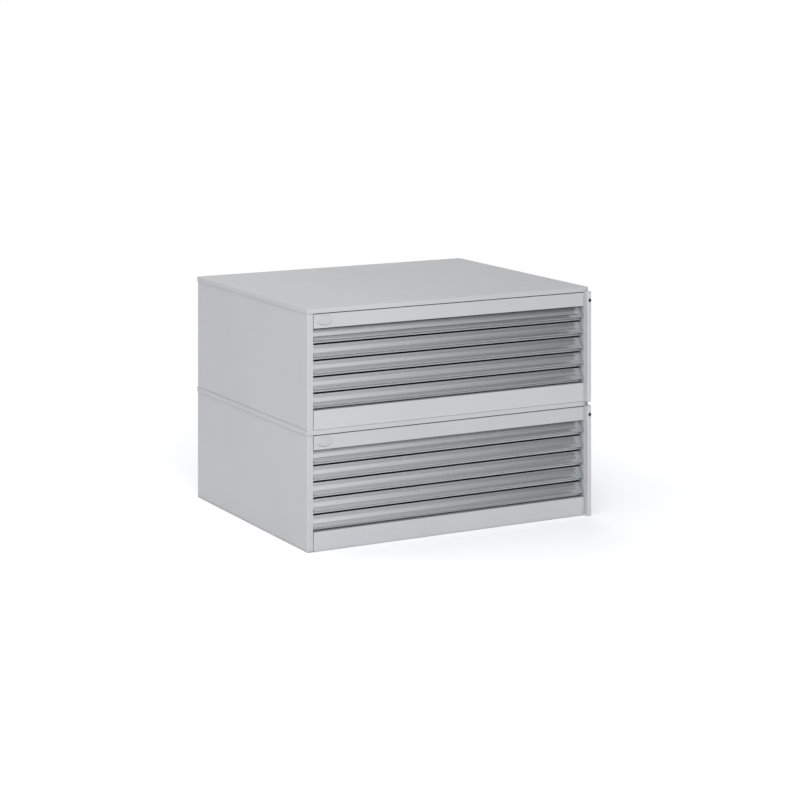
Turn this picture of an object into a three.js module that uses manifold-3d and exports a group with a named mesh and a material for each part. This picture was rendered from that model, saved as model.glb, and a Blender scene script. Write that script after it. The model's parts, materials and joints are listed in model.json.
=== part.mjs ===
// A flat file cabinet: two identical five-drawer units of folded sheet steel, one standing on
// the lid of the other. Each drawer is a shallow steel tray behind a full-width aluminium
// extrusion, and slides on two runners in channels welded to the side panels. A bar over the
// right stile of each unit carries a lock, which lifts a rod with one finger for each drawer.
//
// Millimetres, +Z up, +X to the right, the front faces -Y. The origin is the centre of the
// bottom of the whole object's bounding box.

import * as THREE from "three";
import { mergeVertices } from "three/addons/utils/BufferGeometryUtils.js";
import Module from "manifold-3d";

// ---------------------------------------------------------------- driving dimensions

const LID_WIDTH = 1180;
const CASE_DEPTH = 880; // front plane to the back of the lid
const UNIT_HEIGHT = 420;
const PLINTH_HEIGHT = 67.5;
const DRAWERS = 5;
const DRAWER_PITCH = 56.6;

const CASE_SHEET = 1.2;
const TRAY_SHEET = 1;
const RUNNER_SHEET = 1.5;
const FRONT_WALL = 2; // wall of the aluminium extrusion
const TIGHT_BEND = 1.4; // radius of a sheet's middle line in a plain fold
const REST_GAP = 0.2; // between sheets that rest on or lie along each other
const PANEL_GAP = 0.3; // round a panel that fits inside the case
const SEAM_GAP = 1; // between the stiles and the rails that run between them

const LID_LIP = 16.5;
const LID_GAP = 3; // shadow gap between the lid's lip and the case below it
const LID_OVERHANG = 2.5;
const STILE_GAP = 1; // between the lid's lip and the stiles, which reach further up
const LEFT_STILE = 23;
const RIGHT_STILE = 16.5;
const STILE_DEPTH = 30;
const STILE_BEND = 4;
const FLANGE = 14; // plain stiffening flanges of the case
const HEADER_STEP = 9; // the header's set-back behind the lid's lip
const HEADER_RETURN = 10; // fold below the header's face, open behind it
const BADGE_INSET = 44; // the badge's middle from the header's left end
const BADGE_DROP = 4.6; // its top below the header face's top

const FRONT_DEPTH = 27; // whole section of a drawer's front

const BAR_PROUD = 20; // lock bar in front of the stile
const BAR_WIDTH = 17;
const BAR_TOP = 406;
const BAR_OVERLAP = 2; // past the side panel
const LOCK_FACE_PROUD = 2;
const LOCK_DROP = 46; // lock axis below the lid's top
const LOCK_INSET = 5.5; // lock axis from the side panel's outside
const CRANK = 4.6; // crank pin's radius of turn
const CRANK_PIN = 1.8; // radius of the pin itself
const SPINDLE = 3; // radius of the lock's spindle

const ARC_STEPS = 4;

// ---------------------------------------------------------------- places that follow

const PROUD = BAR_PROUD + LOCK_FACE_PROUD;
const FRONT = -(CASE_DEPTH + PROUD) / 2 + PROUD; // Y of the front plane
const BACK = (CASE_DEPTH + PROUD) / 2; // Y of the lid's back
const CASE_BACK = BACK - 3;
const SIDE = LID_WIDTH / 2 - LID_OVERHANG; // outside of the side panels, from the middle
const OPENING_LEFT = -SIDE + LEFT_STILE;
const OPENING_RIGHT = SIDE - RIGHT_STILE;
const DRAWERS_TOP = PLINTH_HEIGHT + DRAWERS * DRAWER_PITCH;
const CASE_TOP = UNIT_HEIGHT - CASE_SHEET - REST_GAP; // under the lid's plate
const LIP_BOTTOM = UNIT_HEIGHT - LID_LIP;
const FASCIA_TOP = LIP_BOTTOM - LID_GAP;
const HALF_SHEET = CASE_SHEET / 2;
const LOCK_AXIS = [SIDE - LOCK_INSET, UNIT_HEIGHT - LOCK_DROP]; // X and Z

// ---------------------------------------------------------------- solids

const wasm = await Module();
wasm.setup();

function toManifold(geometry) {
  const bare = geometry.clone();
  bare.deleteAttribute("normal");
  bare.deleteAttribute("uv");
  const merged = mergeVertices(bare, 1e-4);
  return new wasm.Manifold(
    new wasm.Mesh({
      numProp: 3,
      vertProperties: merged.attributes.position.array,
      triVerts: Uint32Array.from(merged.index.array),
    }),
  );
}

function toGeometry(solid) {
  const mesh = solid.getMesh();
  const geometry = new THREE.BufferGeometry();
  geometry.setAttribute("position", new THREE.BufferAttribute(mesh.vertProperties, 3));
  geometry.setIndex(new THREE.BufferAttribute(mesh.triVerts, 1));
  return geometry;
}

const join = (...pieces) => toGeometry(pieces.map(toManifold).reduce((sum, piece) => sum.add(piece)));

const cut = (piece, ...tools) =>
  toGeometry(tools.map(toManifold).reduce((left, tool) => left.subtract(tool), toManifold(piece)));

function block([x0, x1], [y0, y1], [z0, z1]) {
  const geometry = new THREE.BoxGeometry(x1 - x0, y1 - y0, z1 - z0);
  return geometry.translate((x0 + x1) / 2, (y0 + y1) / 2, (z0 + z1) / 2);
}

// For each axis of extrusion, the directions of the outline's own across and up, then the axis.
const [X, Y, Z] = [0, 1, 2].map((i) => new THREE.Vector3().setComponent(i, 1));
const PLANES = { x: [Y, Z, X], y: [Z, X, Y], z: [X, Y, Z] };

// An outline extruded along an axis: (y, z) outlines along x, (z, x) along y and (x, y) along z.
function prism(axis, outline, [from, to], curveSegments = ARC_STEPS) {
  const options = { depth: to - from, bevelEnabled: false, curveSegments };
  const geometry = new THREE.ExtrudeGeometry(outline, options);
  return geometry.translate(0, 0, from).applyMatrix4(new THREE.Matrix4().makeBasis(...PLANES[axis]));
}

// A round bar along Y.
function pin(radius, [x, z], [y0, y1], sides = 24) {
  return new THREE.CylinderGeometry(radius, radius, y1 - y0, sides).translate(x, (y0 + y1) / 2, z);
}

// The outline of a sheet that follows a middle line of corners [across, up, bend radius].
// A corner with no radius gets the tight bend; the two ends have none.
function folded(corners, thickness) {
  const points = corners.map(([across, up]) => new THREE.Vector2(across, up));
  const along = points.slice(1).map((point, i) => point.clone().sub(points[i]).normalize());
  const left = [];
  const right = [];
  const addPair = (middle, normal) => {
    left.push(middle.clone().addScaledVector(normal, thickness / 2));
    right.unshift(middle.clone().addScaledVector(normal, -thickness / 2));
  };
  const normalOf = (direction) => new THREE.Vector2(-direction.y, direction.x);

  addPair(points[0], normalOf(along[0]));
  for (let i = 1; i < points.length - 1; i++) {
    const radius = corners[i][2] ?? TIGHT_BEND;
    const [before, after] = [along[i - 1], along[i]];
    const turn = Math.atan2(before.cross(after), before.dot(after));
    const side = Math.sign(turn);
    const start = points[i].clone().addScaledVector(before, -radius * Math.tan(Math.abs(turn) / 2));
    const centre = start.clone().addScaledVector(normalOf(before), side * radius);
    for (let step = 0; step <= ARC_STEPS; step++) {
      const normal = normalOf(before).rotateAround(new THREE.Vector2(), (turn * step) / ARC_STEPS);
      addPair(centre.clone().addScaledVector(normal, -side * radius), normal);
    }
  }
  addPair(points.at(-1), normalOf(along.at(-1)));
  return new THREE.Shape([...left, ...right]);
}

function roundedRectangle([x0, x1], [y0, y1], radius) {
  const shape = new THREE.Shape();
  shape.absarc(x1 - radius, y1 - radius, radius, 0, Math.PI / 2);
  shape.absarc(x0 + radius, y1 - radius, radius, Math.PI / 2, Math.PI);
  shape.absarc(x0 + radius, y0 + radius, radius, Math.PI, 1.5 * Math.PI);
  shape.absarc(x1 - radius, y0 + radius, radius, 1.5 * Math.PI, 2 * Math.PI);
  shape.closePath();
  return shape;
}

// ---------------------------------------------------------------- drawer levels

const RUNNER_Z = [12.2, 30.2]; // above the bottom of the drawer's place, as are all below
const RAIL_Z = [10, 32.4];
const TRAY_Z = [6, 48];
const FRONT_Z = [3.2, 53.4];
const STRIKER_Z = [40.2, 46.2];
const FINGER_Z = [34, 39.5]; // unlocked

const RAIL_REACH = 555; // inner edge of the rails, from the middle
const RAIL_Y = [FRONT + STILE_DEPTH + 6, CASE_BACK - 22];
const RUNNER_REACH = 562.9;
const RUNNER_Y = [FRONT + STILE_DEPTH + 10, CASE_BACK - 24];
const TRAY_HALF = 553;
const TRAY_Y = [FRONT + FRONT_DEPTH + REST_GAP, CASE_BACK - 19];

// Drawer 1 is the top one.
const drawerBottom = (number) => DRAWERS_TOP - number * DRAWER_PITCH;
const drawerNumbers = Array.from({ length: DRAWERS }, (_, i) => i + 1);
const raised = ([low, high], by) => [low + by, high + by];

// ---------------------------------------------------------------- case

// One side panel: its front is folded into a stile, and it carries the five channel rails.
function sidePanel(side) {
  const at = (distance) => side * distance;
  const span = (a, b) => [Math.min(at(a), at(b)), Math.max(at(a), at(b))];
  const middle = SIDE - HALF_SHEET;
  const stile = side < 0 ? LEFT_STILE : RIGHT_STILE;
  const stileTop = LIP_BOTTOM - STILE_GAP;
  const afterBend = FRONT + 2 * STILE_BEND;
  const plan = [
    [at(SIDE - FLANGE), CASE_BACK - HALF_SHEET],
    [at(middle), CASE_BACK - HALF_SHEET],
    [at(middle), FRONT + HALF_SHEET, STILE_BEND],
    [at(SIDE - stile + HALF_SHEET), FRONT + HALF_SHEET],
    [at(SIDE - stile + HALF_SHEET), FRONT + STILE_DEPTH],
  ];
  const behindLip = [...plan.slice(0, 2), [at(middle), afterBend]];
  const flangeY = [afterBend, CASE_BACK - CASE_SHEET];
  const rails = drawerNumbers.map((number) => {
    const [low, high] = raised(RAIL_Z, drawerBottom(number));
    const channel = [
      [low + HALF_SHEET, at(RAIL_REACH)],
      [low + HALF_SHEET, at(middle - HALF_SHEET)],
      [high - HALF_SHEET, at(middle - HALF_SHEET)],
      [high - HALF_SHEET, at(RAIL_REACH)],
    ];
    return prism("y", folded(channel, CASE_SHEET), RAIL_Y);
  });
  return join(
    prism("z", folded(plan, CASE_SHEET), [0, stileTop]),
    prism("z", folded(behindLip, CASE_SHEET), [stileTop - 1, CASE_TOP]),
    block(span(SIDE - FLANGE, middle), flangeY, [0, CASE_SHEET]),
    block(span(SIDE - FLANGE, middle), flangeY, [CASE_TOP - CASE_SHEET, CASE_TOP]),
    ...rails,
  );
}

const leftSidePanel = () => sidePanel(-1);

// The right stile has a hole for the lock's spindle.
const rightSidePanel = () => cut(sidePanel(1), pin(SPINDLE + 0.5, LOCK_AXIS, [FRONT - 1, FRONT + 2]));

function backPanel() {
  const front = CASE_BACK - 2 * CASE_SHEET - REST_GAP;
  const half = SIDE - CASE_SHEET - PANEL_GAP;
  const levels = [2 * CASE_SHEET, CASE_TOP - CASE_SHEET - PANEL_GAP];
  return block([-half, half], [front, front + CASE_SHEET], levels);
}

// A shallow pan that closes the bottom, lying on the side panels' flanges.
function basePanel() {
  const level = CASE_SHEET + REST_GAP + HALF_SHEET;
  const half = SIDE - CASE_SHEET - 1;
  const edge = level + FLANGE;
  const pan = [[edge, -half], [level, -half], [level, half], [edge, half]];
  return prism("y", folded(pan, CASE_SHEET), [FRONT + STILE_DEPTH + 2, CASE_BACK - 4]);
}

function lid() {
  const half = LID_WIDTH / 2;
  const outside = roundedRectangle([-half, half], [FRONT, BACK], STILE_BEND);
  const inner = half - CASE_SHEET;
  const inside = roundedRectangle(
    [-inner, inner],
    [FRONT + CASE_SHEET, BACK - CASE_SHEET],
    STILE_BEND - CASE_SHEET,
  );
  return cut(
    prism("z", outside, [LIP_BOTTOM, UNIT_HEIGHT]),
    prism("z", inside, [LIP_BOTTOM - 1, UNIT_HEIGHT - CASE_SHEET]),
  );
}

const RAIL_BETWEEN_STILES = [OPENING_LEFT + SEAM_GAP, OPENING_RIGHT - SEAM_GAP];

function plinthRail() {
  const section = [
    [FRONT + STILE_DEPTH, HALF_SHEET],
    [FRONT + HALF_SHEET, HALF_SHEET],
    [FRONT + HALF_SHEET, PLINTH_HEIGHT - HALF_SHEET],
    [FRONT + STILE_DEPTH, PLINTH_HEIGHT - HALF_SHEET],
  ];
  return prism("x", folded(section, CASE_SHEET), RAIL_BETWEEN_STILES);
}

// The header steps back behind the lid's lip and carries the lid's front edge. A blank badge
// stands out from its left end: narrow and flat on top, wide and rounded below.
function headerRail() {
  const step = FRONT + HEADER_STEP;
  const section = [
    [FRONT + HEADER_RETURN, DRAWERS_TOP + HALF_SHEET],
    [FRONT + HALF_SHEET, DRAWERS_TOP + HALF_SHEET],
    [FRONT + HALF_SHEET, FASCIA_TOP - HALF_SHEET],
    [step, FASCIA_TOP - HALF_SHEET],
    [step, CASE_TOP - HALF_SHEET],
    [step + FLANGE, CASE_TOP - HALF_SHEET],
  ];
  return join(prism("x", folded(section, CASE_SHEET), RAIL_BETWEEN_STILES), badge());
}

function badge() {
  const middle = RAIL_BETWEEN_STILES[0] + BADGE_INSET;
  const top = FASCIA_TOP - BADGE_DROP;
  const [topHalf, wideHalf, sideHeight, sag, thickness] = [18, 29, 26, 10, 2.8];
  const shoulder = top - sideHeight;
  const outline = new THREE.Shape();
  outline.moveTo(top, middle - topHalf);
  outline.lineTo(top, middle + topHalf);
  outline.lineTo(shoulder, middle + wideHalf);
  outline.quadraticCurveTo(shoulder - 2 * sag, middle, shoulder, middle - wideHalf);
  return prism("y", outline, [FRONT - thickness, FRONT + HALF_SHEET], 12);
}

// ---------------------------------------------------------------- lock

const ROD_Y = [FRONT + 12.5, FRONT + 14.5];

// A channel over the stile, closed at its ends and open towards the stile.
function lockBar() {
  const right = SIDE + BAR_OVERLAP;
  const left = right - BAR_WIDTH;
  const back = FRONT - REST_GAP;
  const face = FRONT - BAR_PROUD + HALF_SHEET;
  const bottom = 0.5;
  const plan = [
    [left + HALF_SHEET, back],
    [left + HALF_SHEET, face, 2.4],
    [right - HALF_SHEET, face, 2.4],
    [right - HALF_SHEET, back],
  ];
  const cap = (z0) =>
    block([left + HALF_SHEET, right - HALF_SHEET], [face + 1, back], [z0, z0 + CASE_SHEET]);
  const bar = join(
    prism("z", folded(plan, CASE_SHEET), [bottom, BAR_TOP]),
    cap(bottom),
    cap(BAR_TOP - CASE_SHEET),
  );
  return cut(bar, pin(6.3, LOCK_AXIS, [FRONT - BAR_PROUD - 1, FRONT - BAR_PROUD + 5]));
}

// Unlocked, the crank pin stands 45 degrees below the axis, towards the drawers.
const PIN_OFFSET = CRANK * Math.SQRT1_2;
const PIN_AT_REST = [LOCK_AXIS[0] - PIN_OFFSET, LOCK_AXIS[1] - PIN_OFFSET];

function lockCylinder() {
  const [x, z] = LOCK_AXIS;
  const face = FRONT - PROUD;
  const [rim, barrel, chamfer] = [6, 5.4, 0.6];
  const [rimDepth, barrelDepth, spindleDepth] = [5, 19, 33];
  const profile = [
    [0, 0],
    [rim - chamfer, 0],
    [rim, chamfer],
    [rim, rimDepth],
    [barrel, rimDepth],
    [barrel, barrelDepth],
    [SPINDLE, barrelDepth],
    [SPINDLE, spindleDepth],
    [0, spindleDepth],
  ].map(([radius, depth]) => new THREE.Vector2(radius, depth));
  const body = new THREE.LatheGeometry(profile, 24).translate(x, face, z);
  const web = new THREE.BoxGeometry(CRANK, 3, 5).translate(-CRANK / 2, 0, 0);
  web.rotateY(-Math.PI / 4).translate(x, face + 31.5, z);
  const crankPin = pin(CRANK_PIN, PIN_AT_REST, [face + 30, face + 38.5], 16);
  const boss = pin(2.5, PIN_AT_REST, [face + 30, face + 33], 16);
  const keyway = block([x - 0.7, x + 0.7], [face - 1, face + 3], [z - 3.2, z + 3.2]);
  return cut(join(body, web, boss, crankPin), keyway);
}

// A flat rod behind the stile's face. Its fingers reach round the stile's folded edge.
function lockRod() {
  const left = OPENING_RIGHT + CASE_SHEET + 1.4;
  const finger = (number) => {
    const level = raised(FINGER_Z, drawerBottom(number));
    const behindStile = [FRONT + STILE_DEPTH + 1, FRONT + STILE_DEPTH + 4];
    return join(
      block([left, left + 3], [ROD_Y[0] + 0.5, behindStile[1]], level),
      block([OPENING_RIGHT - 6.5, left + 3], behindStile, level),
    );
  };
  const plate = block(
    [left, SIDE - CASE_SHEET - 1],
    ROD_Y,
    [drawerBottom(DRAWERS) + FINGER_Z[0] - 4, LOCK_AXIS[1] + 7],
  );
  const slotHalfHeight = CRANK_PIN + 0.35;
  const slotLeft = LOCK_AXIS[0] - CRANK - CRANK_PIN - 0.2;
  const slotRight = PIN_AT_REST[0] + CRANK_PIN + 0.2;
  const slot = block(
    [slotLeft, slotRight],
    [ROD_Y[0] - 1, ROD_Y[1] + 1],
    [PIN_AT_REST[1] - slotHalfHeight, PIN_AT_REST[1] + slotHalfHeight],
  );
  return cut(join(plate, ...drawerNumbers.map(finger)), slot);
}

// ---------------------------------------------------------------- drawers

// The extrusion: a face that leans out in three bands, more each time, to a nose. Below the nose
// are a finger groove and a lower lip. Each corner of its section is a depth behind the front
// plane, a height above the bottom of the drawer's place, and a bend radius.
function drawerFront() {
  const half = FRONT_WALL / 2;
  const [bottom, top] = FRONT_Z;
  const backEdge = FRONT + FRONT_DEPTH;
  const section = [
    [backEdge, top - half],
    [FRONT + 22, top - half, 1.1],
    [FRONT + 18.2, 40, 6],
    [FRONT + 12, 27.8, 5],
    [FRONT + 1.2, 16.2, 1.1],
    [FRONT + 20.5, 13.2, 1.2],
    [FRONT + 18.2, 7, 0.8],
    [FRONT + 18.2, bottom + half, 0.7],
    [backEdge, bottom + half],
  ];
  return prism("x", folded(section, FRONT_WALL), [OPENING_LEFT + 2, OPENING_RIGHT - 2]);
}

// A pan with folded-in top edges, a rear hood, and a striker for the lock's finger.
function drawerTray() {
  const [front, back] = TRAY_Y;
  const [bottom, top] = TRAY_Z;
  const [edgeFlange, hood] = [8, 110];
  const inner = TRAY_HALF - TRAY_SHEET;
  const mouth = TRAY_HALF - edgeFlange;
  const pan = cut(
    block([-TRAY_HALF, TRAY_HALF], TRAY_Y, TRAY_Z),
    block([-inner, inner], [front + TRAY_SHEET, back - TRAY_SHEET], [bottom + TRAY_SHEET, top - TRAY_SHEET]),
    block([-mouth, mouth], [front + edgeFlange, back - hood], [bottom + 10, top + 10]),
  );
  const strikerY = [FRONT + STILE_DEPTH + 5, FRONT + STILE_DEPTH + 8];
  return join(pan, block([TRAY_HALF - TRAY_SHEET / 2, OPENING_RIGHT - 0.5], strikerY, STRIKER_Z));
}

// A channel along the tray's side, open towards the rail it runs in.
function runner(side) {
  const half = RUNNER_SHEET / 2;
  const web = side * (TRAY_HALF + 0.15 + half);
  const reach = side * RUNNER_REACH;
  const [low, high] = [RUNNER_Z[0] + half, RUNNER_Z[1] - half];
  const section = [[low, reach], [low, web], [high, web], [high, reach]];
  return prism("y", folded(section, RUNNER_SHEET), RUNNER_Y);
}

// ---------------------------------------------------------------- materials

const paintedSteel = () =>
  new THREE.MeshStandardMaterial({ color: 0xc4c5c9, roughness: 0.5, metalness: 0.1 });
const aluminium = () =>
  new THREE.MeshStandardMaterial({ color: 0xb4babd, roughness: 0.35, metalness: 0.9 });
const zincSteel = () =>
  new THREE.MeshStandardMaterial({ color: 0xa6a9ab, roughness: 0.4, metalness: 0.8 });
const darkMetal = () =>
  new THREE.MeshStandardMaterial({ color: 0x3c3d3f, roughness: 0.35, metalness: 0.7 });

// ---------------------------------------------------------------- assembly

const CASE_PIECES = [
  ["left_side_panel", leftSidePanel, paintedSteel],
  ["right_side_panel", rightSidePanel, paintedSteel],
  ["back_panel", backPanel, paintedSteel],
  ["base_panel", basePanel, paintedSteel],
  ["plinth_rail", plinthRail, paintedSteel],
  ["header_rail", headerRail, paintedSteel],
  ["lid", lid, paintedSteel],
  ["lock_bar", lockBar, paintedSteel],
  ["lock_rod", lockRod, zincSteel],
  ["lock_cylinder", lockCylinder, darkMetal],
];

const DRAWER_PIECES = [
  ["front", drawerFront, aluminium],
  ["tray", drawerTray, paintedSteel],
  ["left_runner", () => runner(-1), zincSteel],
  ["right_runner", () => runner(1), zincSteel],
];

function assemble(prefix, pieces) {
  const group = new THREE.Group();
  for (const [name, build, material] of pieces) {
    const mesh = new THREE.Mesh(build(), material());
    mesh.name = `${prefix}_${name}`;
    group.add(mesh);
  }
  return group;
}

const cabinet = new THREE.Group();
cabinet.name = "flat_file_cabinet";

["lower", "upper"].forEach((unit, level) => {
  const group = assemble(unit, CASE_PIECES);
  for (const number of drawerNumbers) {
    const drawer = assemble(`${unit}_drawer_${number}`, DRAWER_PIECES);
    drawer.position.z = drawerBottom(number);
    group.add(drawer);
  }
  group.position.z = level * UNIT_HEIGHT;
  cabinet.add(group);
});

export default cabinet;
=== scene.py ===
"""A flat file cabinet of two stacked steel units, each with five aluminium-fronted drawers.

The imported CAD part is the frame. Its folded-steel pieces are taken over with clean, softened
edges. The drawer fronts, the header rails and the blank badges are built here in more detail.
"""

import json
import math

import bmesh
import bpy
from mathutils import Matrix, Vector


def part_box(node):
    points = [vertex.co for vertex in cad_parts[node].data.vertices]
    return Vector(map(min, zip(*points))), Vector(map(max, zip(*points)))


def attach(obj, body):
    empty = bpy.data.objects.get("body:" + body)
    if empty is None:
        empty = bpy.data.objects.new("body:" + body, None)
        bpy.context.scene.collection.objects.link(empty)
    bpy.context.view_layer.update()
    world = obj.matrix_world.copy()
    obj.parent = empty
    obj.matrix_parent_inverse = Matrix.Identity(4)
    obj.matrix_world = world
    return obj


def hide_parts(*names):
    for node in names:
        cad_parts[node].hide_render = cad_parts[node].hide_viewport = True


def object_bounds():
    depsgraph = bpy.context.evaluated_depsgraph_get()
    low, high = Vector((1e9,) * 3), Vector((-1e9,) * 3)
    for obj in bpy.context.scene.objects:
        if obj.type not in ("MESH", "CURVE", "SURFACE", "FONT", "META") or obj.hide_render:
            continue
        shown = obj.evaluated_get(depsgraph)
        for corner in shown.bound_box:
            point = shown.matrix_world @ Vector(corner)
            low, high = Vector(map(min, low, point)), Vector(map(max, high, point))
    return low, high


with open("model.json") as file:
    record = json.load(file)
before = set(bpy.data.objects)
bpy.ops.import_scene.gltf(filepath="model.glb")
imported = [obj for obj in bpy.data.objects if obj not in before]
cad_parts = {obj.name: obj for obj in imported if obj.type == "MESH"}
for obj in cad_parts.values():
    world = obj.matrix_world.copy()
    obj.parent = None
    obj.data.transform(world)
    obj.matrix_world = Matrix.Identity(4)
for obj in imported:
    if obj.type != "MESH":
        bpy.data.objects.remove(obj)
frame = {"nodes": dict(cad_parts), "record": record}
cad_low, cad_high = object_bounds()

UNITS = ("lower", "upper")
DRAWERS = range(1, 6)
MM = 0.001

CASE_SHEET = 1.2 * MM
BEND = 1.4 * MM  # radius of a fold's middle line
ARC_STEPS = 8  # flat steps in each rounded bend

CASE_EDGE = 0.35 * MM  # how far the edges are rounded
TRAY_EDGE = 0.25 * MM
METAL_EDGE = 0.2 * MM
BADGE_EDGE = 0.3 * MM

PLANE_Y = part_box("lower_plinth_rail")[0].y  # the front plane of the case


# ---------------------------------------------------------------- node building blocks


class Nodes:
    """A node tree with short ways to add and link nodes."""

    def __init__(self, tree):
        self.tree = tree

    def add(self, kind, **settings):
        node = self.tree.nodes.new(kind)
        for key, value in settings.items():
            setattr(node, key, value)
        return node

    def plug(self, socket, value):
        """Links a socket to another node's output, or sets it to a plain value."""
        if isinstance(value, bpy.types.NodeSocket):
            self.tree.links.new(value, socket)
        else:
            socket.default_value = value

    def feed(self, node, **inputs):
        """Sets or links inputs by name, with _ for each space."""
        for key, value in inputs.items():
            self.plug(node.inputs[key.replace("_", " ")], value)
        return node

    def math(self, operation, *values):
        node = self.add("ShaderNodeMath", operation=operation)
        for socket, value in zip(node.inputs, values):
            self.plug(socket, value)
        return node.outputs["Value"]

    def times(self, a, b):
        return self.math("MULTIPLY", a, b)

    def ramp(self, value, low, high, start=0.3, end=0.7, shape="LINEAR"):
        """A number that goes from low to high as value goes from start to end. Left out, start
        and end suit a noise."""
        node = self.feed(
            self.add("ShaderNodeMapRange", interpolation_type=shape),
            Value=value,
            From_Min=start,
            From_Max=end,
            To_Min=low,
            To_Max=high,
        )
        return node.outputs["Result"]

    def seen_directly(self):
        """1 where the camera looks straight at this, 0 where this lights or is mirrored."""
        return self.add("ShaderNodeLightPath").outputs["Is Camera Ray"]


class Shader(Nodes):
    """A new material, its node tree and its surface node."""

    def __init__(self, name):
        self.material = bpy.data.materials.new(name)
        self.material.use_nodes = True
        super().__init__(self.material.node_tree)
        self.surface = self.tree.nodes["Principled BSDF"]

    def place(self, stretch=(1, 1, 1)):
        """The point in the object's own space, scaled along each axis."""
        coordinates = self.add("ShaderNodeTexCoord").outputs["Object"]
        scaled = self.feed(self.add("ShaderNodeMapping"), Vector=coordinates, Scale=stretch)
        return scaled.outputs["Vector"]

    def noise(self, scale, stretch=(1, 1, 1), detail=3):
        node = self.feed(
            self.add("ShaderNodeTexNoise"), Vector=self.place(stretch), Scale=scale, Detail=detail
        )
        return node.outputs["Fac"]

    def tinted(self, color, brightness):
        """A colour times a brightness that varies."""
        node = self.feed(
            self.add("ShaderNodeVectorMath", operation="SCALE"), Vector=color, Scale=brightness
        )
        return node.outputs["Vector"]

    def recess_shade(self, reach, darkest):
        """Painted shade: a brightness of 1 in the open that falls to the darkest inside narrow
        recesses.
        """
        occlusion = self.add("ShaderNodeAmbientOcclusion", samples=4)
        self.feed(occlusion, Distance=reach)
        return self.ramp(occlusion.outputs["AO"], darkest, 1.0, 0.15, 0.6)

    def underside_shade(self, darkest):
        """Painted shade: a brightness of 1 that falls to the darkest on faces that look down."""
        normal = self.add("ShaderNodeNewGeometry").outputs["Normal"]
        parts = self.feed(self.add("ShaderNodeSeparateXYZ"), Vector=normal)
        return self.ramp(parts.outputs["Z"], darkest, 1.0, -0.9, -0.4)

    def bump(self, height, depth):
        node = self.feed(self.add("ShaderNodeBump"), Height=height, Distance=depth, Strength=1.0)
        return node.outputs["Normal"]


# ---------------------------------------------------------------- materials


def painted_steel(name, color, wear=0.0, recess=0.1):
    """Powder coat: a fine orange peel, and clouding too faint to see as a pattern. Painted shade
    darkens it inside recesses, down to recess, and on faces that look down."""
    shader = Shader(name)
    cloud = shader.ramp(shader.noise(2.2), 0.975, 1.025)
    speck = shader.ramp(shader.noise(1400), 0.985, 1.015)
    rub = shader.ramp(shader.noise(60), 1.0, 1.0 + wear, 0.45, 0.62)
    brightness = shader.times(shader.times(cloud, speck), rub)
    # painted shade: darker inside recesses and on faces that look down
    brightness = shader.times(brightness, shader.recess_shade(25 * MM, recess))
    brightness = shader.times(brightness, shader.underside_shade(0.12))
    shader.feed(
        shader.surface,
        Base_Color=shader.tinted(color, brightness),
        Roughness=shader.ramp(shader.noise(14), 0.43, 0.48),
        Normal=shader.bump(shader.noise(700, detail=2), 0.02 * MM),
    )
    return shader.material


def extruded_aluminium(name, color):
    """Satin anodised aluminium with the fine lines that a die leaves along X."""
    shader = Shader(name)
    lines = shader.noise(1.0, stretch=(1.5, 1300, 1300), detail=4)
    streaks = shader.noise(1.0, stretch=(0.8, 260, 260), detail=2)
    brightness = shader.times(shader.ramp(lines, 0.93, 1.07), shader.ramp(streaks, 0.95, 1.05))
    # painted shade: darker inside recesses, such as the gaps between the fronts
    brightness = shader.times(brightness, shader.recess_shade(12 * MM, 0.1))
    tangent = shader.add("ShaderNodeTangent", direction_type="RADIAL", axis="X")
    shader.feed(
        shader.surface,
        Base_Color=shader.tinted(color, brightness),
        Metallic=1.0,
        Roughness=shader.ramp(streaks, 0.17, 0.24),
        Anisotropic=0.3,
        Tangent=tangent.outputs["Tangent"],
        Normal=shader.bump(lines, 0.02 * MM),
    )
    return shader.material


def zinc_steel(name, color):
    """Zinc plate with soft grey blotches and a slight grain along Y."""
    shader = Shader(name)
    blotch = shader.ramp(shader.noise(40), 0.88, 1.1)
    grain = shader.noise(1.0, stretch=(700, 12, 700))
    shader.feed(
        shader.surface,
        Base_Color=shader.tinted(color, blotch),
        Metallic=0.9,
        Roughness=shader.ramp(grain, 0.32, 0.46),
        Normal=shader.bump(grain, 0.02 * MM),
    )
    return shader.material


def lock_metal(name, color):
    """Dark metal with a fine, even grain."""
    shader = Shader(name)
    grain = shader.noise(900)
    shader.feed(
        shader.surface,
        Base_Color=shader.tinted(color, shader.ramp(grain, 0.85, 1.15)),
        Metallic=0.9,
        Roughness=shader.ramp(grain, 0.3, 0.42),
        Normal=shader.bump(grain, 0.01 * MM),
    )
    return shader.material


PAINT_COLOR = (0.525, 0.532, 0.553)
PAINT = painted_steel("painted_steel", PAINT_COLOR)
# the rounded edges: lighter worn paint, with weaker painted recess shade
WORN_PAINT = painted_steel("worn_paint", (0.55, 0.557, 0.579), wear=0.08, recess=0.3)
# the case paint without painted recess shade, so the right stile beside the lock bar stays light
UNSHADED_PAINT = painted_steel("unshaded_paint", PAINT_COLOR, recess=1.0)
# a lighter copy of the case paint with weaker painted recess shade: painted light on the plinths
PLINTH_PAINT = painted_steel("plinth_paint", (0.548, 0.555, 0.577), recess=0.6)
# a lighter copy of the case paint without painted recess shade: painted light on the lock bar
BAR_PAINT = painted_steel("bar_paint", (0.575, 0.582, 0.605), recess=1.0)
BADGE_PAINT = painted_steel("badge_paint", (0.505, 0.512, 0.533))
ALUMINIUM = extruded_aluminium("extruded_aluminium", (0.665, 0.692, 0.707))
ZINC = zinc_steel("zinc_steel", (0.52, 0.53, 0.54))
LOCK = lock_metal("lock_metal", (0.09, 0.09, 0.095))


# ---------------------------------------------------------------- geometry building blocks


def bodies_by_node():
    bodies = frame["record"]["behaviour"]["bodies"]
    return {node: body for body, nodes in bodies.items() for node in nodes}


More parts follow.
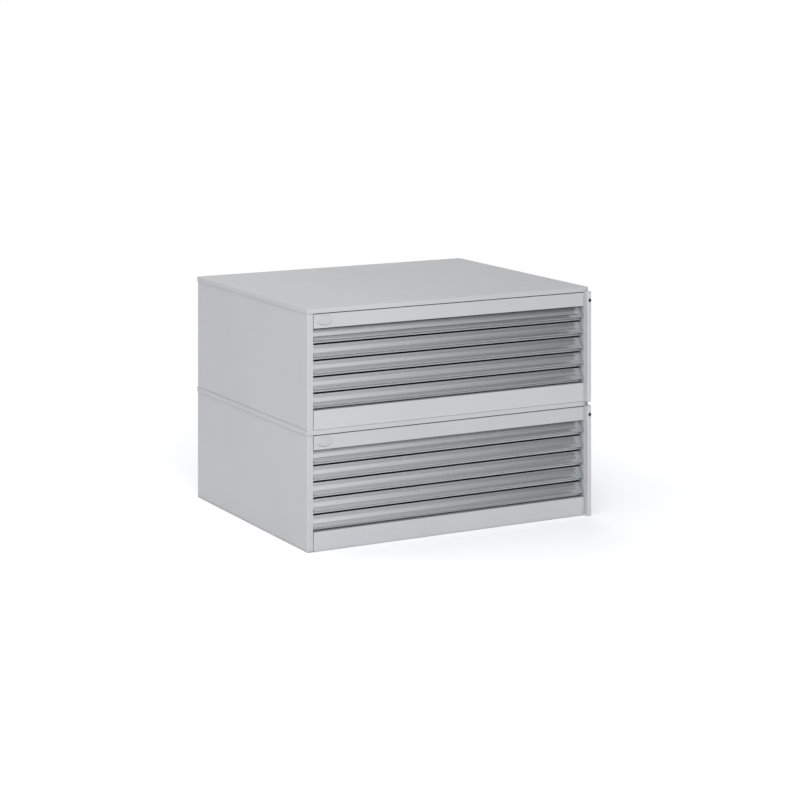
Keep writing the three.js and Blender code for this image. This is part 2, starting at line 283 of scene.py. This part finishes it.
BODY_OF = bodies_by_node()


def add_piece(name, mesh, body, materials):
    piece = bpy.data.objects.new(name, mesh)
    bpy.context.scene.collection.objects.link(piece)
    mesh.materials.clear()
    for material in materials:
        mesh.materials.append(material)
    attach(piece, body)
    return piece


def soften(piece, width, angle=40):
    """Rounds the sharp edges, in the piece's second material if it has one, and shades smooth."""
    piece.data.shade_smooth()
    bevel = piece.modifiers.new("rounded_edges", "BEVEL")
    bevel.width = width
    bevel.segments = 2
    bevel.limit_method = "ANGLE"
    bevel.angle_limit = math.radians(angle)
    bevel.use_clamp_overlap = True
    if len(piece.data.materials) > 1:
        bevel.material = 1
    normals = piece.modifiers.new("flat_faces", "WEIGHTED_NORMAL")
    normals.weight = 100


def take_over(node, materials, edge):
    """A piece with the CAD node's own shape, its flat areas whole again and its edges softened."""
    mesh = frame["nodes"][node].data.copy()
    edit = bmesh.new()
    edit.from_mesh(mesh)
    bmesh.ops.remove_doubles(edit, verts=edit.verts, dist=0.005 * MM)
    bmesh.ops.dissolve_limit(
        edit, angle_limit=math.radians(1), verts=edit.verts, edges=edit.edges
    )
    for face in edit.faces:
        face.material_index = 0
    edit.to_mesh(mesh)
    edit.free()
    for name in ("custom_normal", "sharp_edge", "sharp_face"):
        if name in mesh.attributes:
            mesh.attributes.remove(mesh.attributes[name])
    piece = add_piece(f"{node}_surface", mesh, BODY_OF[node], materials)
    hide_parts(node)
    soften(piece, edge)


def normal_of(direction):
    """The direction turned a quarter to its left."""
    return Vector((-direction.y, direction.x))


def folded(corners, thickness):
    """The left and right sides of a sheet whose middle line follows (across, up, bend radius)
    corners, each side from the line's start to its end."""
    points = [Vector((across, up)) for across, up, _ in corners]
    along = [(b - a).normalized() for a, b in zip(points, points[1:])]
    left, right = [], []

    def add_pair(middle, normal):
        left.append(middle + normal * thickness / 2)
        right.append(middle - normal * thickness / 2)

    add_pair(points[0], normal_of(along[0]))
    for point, before, after, (_, _, radius) in zip(points[1:], along, along[1:], corners[1:]):
        turn = math.atan2(before.x * after.y - before.y * after.x, before.dot(after))
        side = math.copysign(1, turn)
        start = point - before * radius * math.tan(abs(turn) / 2)
        centre = start + normal_of(before) * side * radius
        for step in range(ARC_STEPS + 1):
            angle = turn * step / ARC_STEPS
            normal = normal_of(before) * math.cos(angle) - before * math.sin(angle)
            add_pair(centre - normal * side * radius, normal)
    add_pair(points[-1], normal_of(along[-1]))
    return left, right


def bar_along_x(outline, x0, x1):
    """A mesh of a (y, z) outline extruded along X."""
    count = len(outline)
    points = [(x, y, z) for x in (x0, x1) for y, z in outline]
    sides = [(i, (i + 1) % count, count + (i + 1) % count, count + i) for i in range(count)]
    ends = [tuple(range(count)), tuple(range(count, 2 * count))]
    mesh = bpy.data.meshes.new("bar")
    mesh.from_pydata(points, [], sides + ends)
    edit = bmesh.new()
    edit.from_mesh(mesh)
    bmesh.ops.recalc_face_normals(edit, faces=edit.faces)
    edit.to_mesh(mesh)
    edit.free()
    return mesh


# ---------------------------------------------------------------- drawer fronts


FRONT_WALL = 2 * MM
RIBS = 4
RIB_HEIGHT = 0.2 * MM
RIB_SHAPE = ((0.3, 0), (0.45, 1), (0.75, 1), (0.9, 0))  # (part of the pitch, part of the height)


def front_outline(bottom, top, back):
    """The extrusion's section: three bands that lean out to a nose, the first one ribbed. Below
    the nose are a finger groove and a lip."""
    half = FRONT_WALL / 2
    turns = [
        (22, (top - bottom - half) / MM, 1.1),
        (18.2, 36.8, 6),
        (12, 24.6, 5),
        (1.2, 13, 1.1),
        (20.5, 10, 1.2),
        (18.2, 3.8, 0.8),
        (18.2, 1, 0.7),
    ]  # depth behind the front plane, height above the bottom and bend radius, in millimetres
    corners = [(back, top - half, 0)]
    for depth, height, radius in turns:
        corners.append((PLANE_Y + depth * MM, bottom + height * MM, radius * MM))
    corners.append((back, bottom + half, 0))
    inside, outside = folded(corners, FRONT_WALL)
    band = 1 + ARC_STEPS  # the point where the upper band begins, after the top edge's bend
    outside[band + 1 : band + 1] = ribs(outside[band], outside[band + 1])
    return inside + outside[::-1]


def ribs(start, end):
    """The points of shallow ribs on the straight line from start to end."""
    pitch = (end - start) / RIBS
    rise = Vector((pitch.y, -pitch.x)).normalized() * RIB_HEIGHT
    return [
        start + pitch * (rib + along) + rise * height
        for rib in range(RIBS)
        for along, height in RIB_SHAPE
    ]


def drawer_front(drawer):
    node = f"{drawer}_front"
    low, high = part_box(node)
    mesh = bar_along_x(front_outline(low.z, high.z, high.y), low.x, high.x)
    piece = add_piece(f"{drawer}_extrusion", mesh, BODY_OF[node], [ALUMINIUM])
    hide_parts(node)
    soften(piece, METAL_EDGE, angle=50)


# ---------------------------------------------------------------- header and badge


LIP_AND_GAP = 19.5 * MM  # the lid's lip and the shadow gap below it
HEADER_STEP = 9 * MM  # from the front plane back to the rail's part behind the lip
HEADER_RETURN = 10 * MM  # depth of its lower fold
HEADER_FLANGE = 14 * MM  # depth of its upper fold

BADGE_INSET = 44 * MM  # the badge's middle from the rail's left end
BADGE_DROP = 4.6 * MM  # its top below the rail's top edge
BADGE_HALF_TOP = 18 * MM
BADGE_HALF_WIDTH = 29 * MM
BADGE_SIDE = 26 * MM  # height of its leaning sides
BADGE_SAG = 10 * MM  # how far the round bottom hangs below them
BADGE_STEPS = 24
BADGE_FOOT = 0.6 * MM  # height of its upright rim
BADGE_RISE = 2.8 * MM  # how proud it stands
BADGE_SLOPE = 3 * MM  # width of the slope from the rim up
BADGE_BORDER = 2.5 * MM  # width of the slope from there down to its middle
BADGE_SINK = 0.3 * MM


def header_rail(unit):
    """The face rail above the drawers, which steps back at the top behind the lid's lip."""
    node = f"{unit}_header_rail"
    body = BODY_OF[node]
    low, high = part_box(node)
    face_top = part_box(f"{unit}_lid")[1].z - LIP_AND_GAP
    half = CASE_SHEET / 2
    face = PLANE_Y + half
    step = PLANE_Y + HEADER_STEP
    corners = [
        (PLANE_Y + HEADER_RETURN, low.z + half, 0),
        (face, low.z + half, BEND),
        (face, face_top - half, BEND),
        (step, face_top - half, BEND),
        (step, high.z - half, BEND),
        (step + HEADER_FLANGE, high.z - half, 0),
    ]
    inside, outside = folded(corners, CASE_SHEET)
    mesh = bar_along_x(inside + outside[::-1], low.x, high.x)
    piece = add_piece(f"{unit}_header", mesh, body, [PAINT, WORN_PAINT])
    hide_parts(node)
    soften(piece, METAL_EDGE)
    badge(unit, body, low.x + BADGE_INSET, face_top - BADGE_DROP)


def badge_outline():
    """Points (across, up) from the middle of the top edge. The bottom is a parabola."""
    outline = [Vector((-BADGE_HALF_TOP, 0)), Vector((BADGE_HALF_TOP, 0))]
    for step in range(BADGE_STEPS + 1):
        across = 1 - 2 * step / BADGE_STEPS
        up = -BADGE_SIDE - BADGE_SAG * (1 - across**2)
        outline.append(Vector((BADGE_HALF_WIDTH * across, up)))
    return outline


def shrunk(outline, distance):
    """A clockwise outline with each of its points moved inwards, midway between its two sides."""
    befores = outline[-1:] + outline[:-1]
    afters = outline[1:] + outline[:1]
    points = []
    for before, here, after in zip(befores, outline, afters):
        along = (here - before).normalized() + (after - here).normalized()
        points.append(here - normal_of(along).normalized() * distance)
    return points


def badge(unit, body, centre, top):
    """A blank raised plate that widens downwards to a rounded bottom, with soft edges."""
    outline = badge_outline()
    slope_top = shrunk(outline, BADGE_SLOPE)
    middle = shrunk(slope_top, BADGE_BORDER)
    rings = (
        (outline, 0),
        (outline, BADGE_FOOT),
        (slope_top, BADGE_RISE),
        (middle, BADGE_RISE - BADGE_SINK),
    )
    points = [
        (centre + across, PLANE_Y - rise, top + up) for ring, rise in rings for across, up in ring
    ]
    count = len(outline)
    faces = [tuple(range(count)), tuple(range(len(points) - count, len(points)))[::-1]]
    for start in range(0, len(points) - count, count):
        for i in range(count):
            j = (i + 1) % count
            faces.append((start + j, start + i, start + count + i, start + count + j))
    mesh = bpy.data.meshes.new("badge")
    mesh.from_pydata(points, [], faces)
    piece = add_piece(f"{unit}_badge", mesh, body, [BADGE_PAINT])
    soften(piece, BADGE_EDGE, angle=30)


# ---------------------------------------------------------------- the whole cabinet


CASE_PIECES = ("left_side_panel", "back_panel", "base_panel", "lid")


def build_unit(unit):
    for name in CASE_PIECES:
        take_over(f"{unit}_{name}", [PAINT, WORN_PAINT], CASE_EDGE)
    # the right panel's paint has no painted recess shade, so its stile beside the lock bar stays
    # light
    take_over(f"{unit}_right_side_panel", [UNSHADED_PAINT, WORN_PAINT], CASE_EDGE)
    take_over(f"{unit}_plinth_rail", [PLINTH_PAINT], CASE_EDGE)
    take_over(f"{unit}_lock_bar", [BAR_PAINT], CASE_EDGE)
    header_rail(unit)
    take_over(f"{unit}_lock_rod", [ZINC], METAL_EDGE)
    take_over(f"{unit}_lock_cylinder", [LOCK], METAL_EDGE)
    for number in DRAWERS:
        drawer = f"{unit}_drawer_{number}"
        drawer_front(drawer)
        take_over(f"{drawer}_tray", [PAINT, WORN_PAINT], TRAY_EDGE)
        for side in ("left", "right"):
            take_over(f"{drawer}_{side}_runner", [ZINC], METAL_EDGE)


for unit in UNITS:
    build_unit(unit)


# ---------------------------------------------------------------- camera


SENSOR = 36  # in millimetres, as is the lens
LENS = 96.81
CAMERA_PLACE = (-4.122, -6.951, 2.018)
CAMERA_YAW = -26.33  # degrees from looking straight at the front
LENS_SHIFT = {"shift_x": 0.2154, "shift_y": -0.5406}  # in parts of the picture's width


def add_camera():
    """A level camera in front of the left corner. Its lens shift, like a view camera's, keeps the
    uprights parallel. The shift belongs to this viewpoint: a driver takes it off once another
    viewpoint sets the camera's rotation as a quaternion (rotation mode 0, where XYZ is 1)."""
    data = bpy.data.cameras.new("camera")
    data.sensor_width = SENSOR
    data.lens = LENS
    camera = bpy.data.objects.new("camera", data)
    bpy.context.scene.collection.objects.link(camera)
    camera.location = CAMERA_PLACE
    camera.rotation_euler = (math.radians(90), 0, math.radians(CAMERA_YAW))
    for channel, shift in LENS_SHIFT.items():
        curve = data.driver_add(channel)
        curve.driver.type = "SUM"
        target = curve.driver.variables.new().targets[0]
        target.id = camera
        target.data_path = "rotation_mode"
        curve.modifiers[0].coefficients = (0, shift)
    bpy.context.scene.camera = camera


# ---------------------------------------------------------------- floor and light


FLOOR_RADIUS = 30
FLOOR_FADE = (2, 8)  # where the floor begins to fade into the surroundings, and where it is gone

KEY_PLACE = (-1.6, -3.4, 1.9)
KEY_SIZE = 1.6
KEY_POWER = 45

# How bright the room is by the sideways part of the direction, -1 at the left and 1 at the right.
ROOM = ((-1, 0.78), (0.2, 1.2), (0.42, 0.98), (0.6, 0.15), (0.8, 0.13), (1, 0.4))
ROOM_TOP = 2  # the brightness at the curve's full scale
ROOM_BEHIND = 1.06  # how much brighter the room is behind the object

# The room is brightest in a ring above the horizon. Its light is scaled by RING_PEAK up to
# RING_FULL from the ring's middle, and by RING_BASE from RING_END on.
RING_HEIGHT = math.radians(38)
RING_FULL = math.radians(5)
RING_END = math.radians(26)
RING_PEAK = 1.26
RING_BASE = 0.66


def add_floor():
    """A pale floor that fades into the pale surroundings. The camera sees it a little brighter
    than it is to the object."""
    edit = bmesh.new()
    bmesh.ops.create_circle(edit, cap_ends=True, segments=128, radius=FLOOR_RADIUS)
    mesh = bpy.data.meshes.new("floor")
    edit.to_mesh(mesh)
    edit.free()
    floor = bpy.data.objects.new("floor", mesh)
    bpy.context.scene.collection.objects.link(floor)
    shader = Shader("floor")
    distance = shader.add("ShaderNodeVectorMath", operation="LENGTH")
    shader.feed(distance, Vector=shader.place())
    seen = shader.seen_directly()
    shader.feed(
        shader.surface,
        Base_Color=shader.tinted((0.98, 0.985, 1.0), shader.ramp(seen, 0.8, 0.95, 0, 1)),
        Roughness=0.9,
        Emission_Color=(1, 1, 1, 1),
        Emission_Strength=shader.ramp(seen, 0, 0.2, 0, 1),
        Alpha=shader.ramp(distance.outputs["Value"], 1, 0, *FLOOR_FADE),
    )
    mesh.materials.append(shader.material)


def add_key_light():
    """A soft light from the front left, which the metal fronts don't mirror."""
    data = bpy.data.lights.new("key", "AREA")
    data.size = KEY_SIZE
    data.energy = KEY_POWER
    light = bpy.data.objects.new("key", data)
    bpy.context.scene.collection.objects.link(light)
    light.location = KEY_PLACE
    aim = Vector((0, 0, cad_high.z / 2)) - light.location
    light.rotation_euler = aim.to_track_quat("-Z", "Y").to_euler()
    light.visible_glossy = False


def room_curve(nodes, sideways):
    """The room's brightness, as part of ROOM_TOP, by the sideways part of the direction."""
    curve = nodes.add("ShaderNodeFloatCurve")
    points = curve.mapping.curves[0].points
    first, *middle, last = [((place + 1) / 2, level / ROOM_TOP) for place, level in ROOM]
    points[0].location = first
    points[1].location = last
    for spot in middle:
        points.new(*spot)
    curve.mapping.update()
    nodes.feed(curve, Value=nodes.math("MULTIPLY_ADD", sideways, 0.5, 0.5))
    return curve.outputs["Value"]


def ring_light(nodes, upwards):
    """How the ring scales the room's brightness, by the upward part of the direction."""
    off_ring = nodes.math("SUBTRACT", nodes.math("ARCSINE", upwards), RING_HEIGHT)
    distance = nodes.math("ABSOLUTE", off_ring)
    return nodes.ramp(distance, RING_PEAK, RING_BASE, RING_FULL, RING_END, "SMOOTHSTEP")


def add_surroundings():
    """A pale room that lights the object and that the metal fronts mirror, darker towards the
    right and overhead. The camera itself sees white behind the object."""
    world = bpy.data.worlds.new("studio")
    bpy.context.scene.world = world
    world.use_nodes = True
    nodes = Nodes(world.node_tree)
    view = nodes.add("ShaderNodeTexCoord").outputs["Generated"]
    direction = nodes.feed(nodes.add("ShaderNodeSeparateXYZ"), Vector=view)
    sideways, backwards, upwards = direction.outputs
    behind = nodes.ramp(backwards, 1, ROOM_BEHIND, -0.2, 0.6, "SMOOTHSTEP")
    room = nodes.times(nodes.times(room_curve(nodes, sideways), behind), ROOM_TOP)
    light = nodes.times(room, ring_light(nodes, upwards))
    strength = nodes.math("MAXIMUM", light, nodes.seen_directly())
    nodes.feed(world.node_tree.nodes["Background"], Color=(1, 1, 1, 1), Strength=strength)


add_camera()
add_floor()
add_surroundings()
add_key_light()
bpy.context.scene.view_settings.view_transform = "Standard"
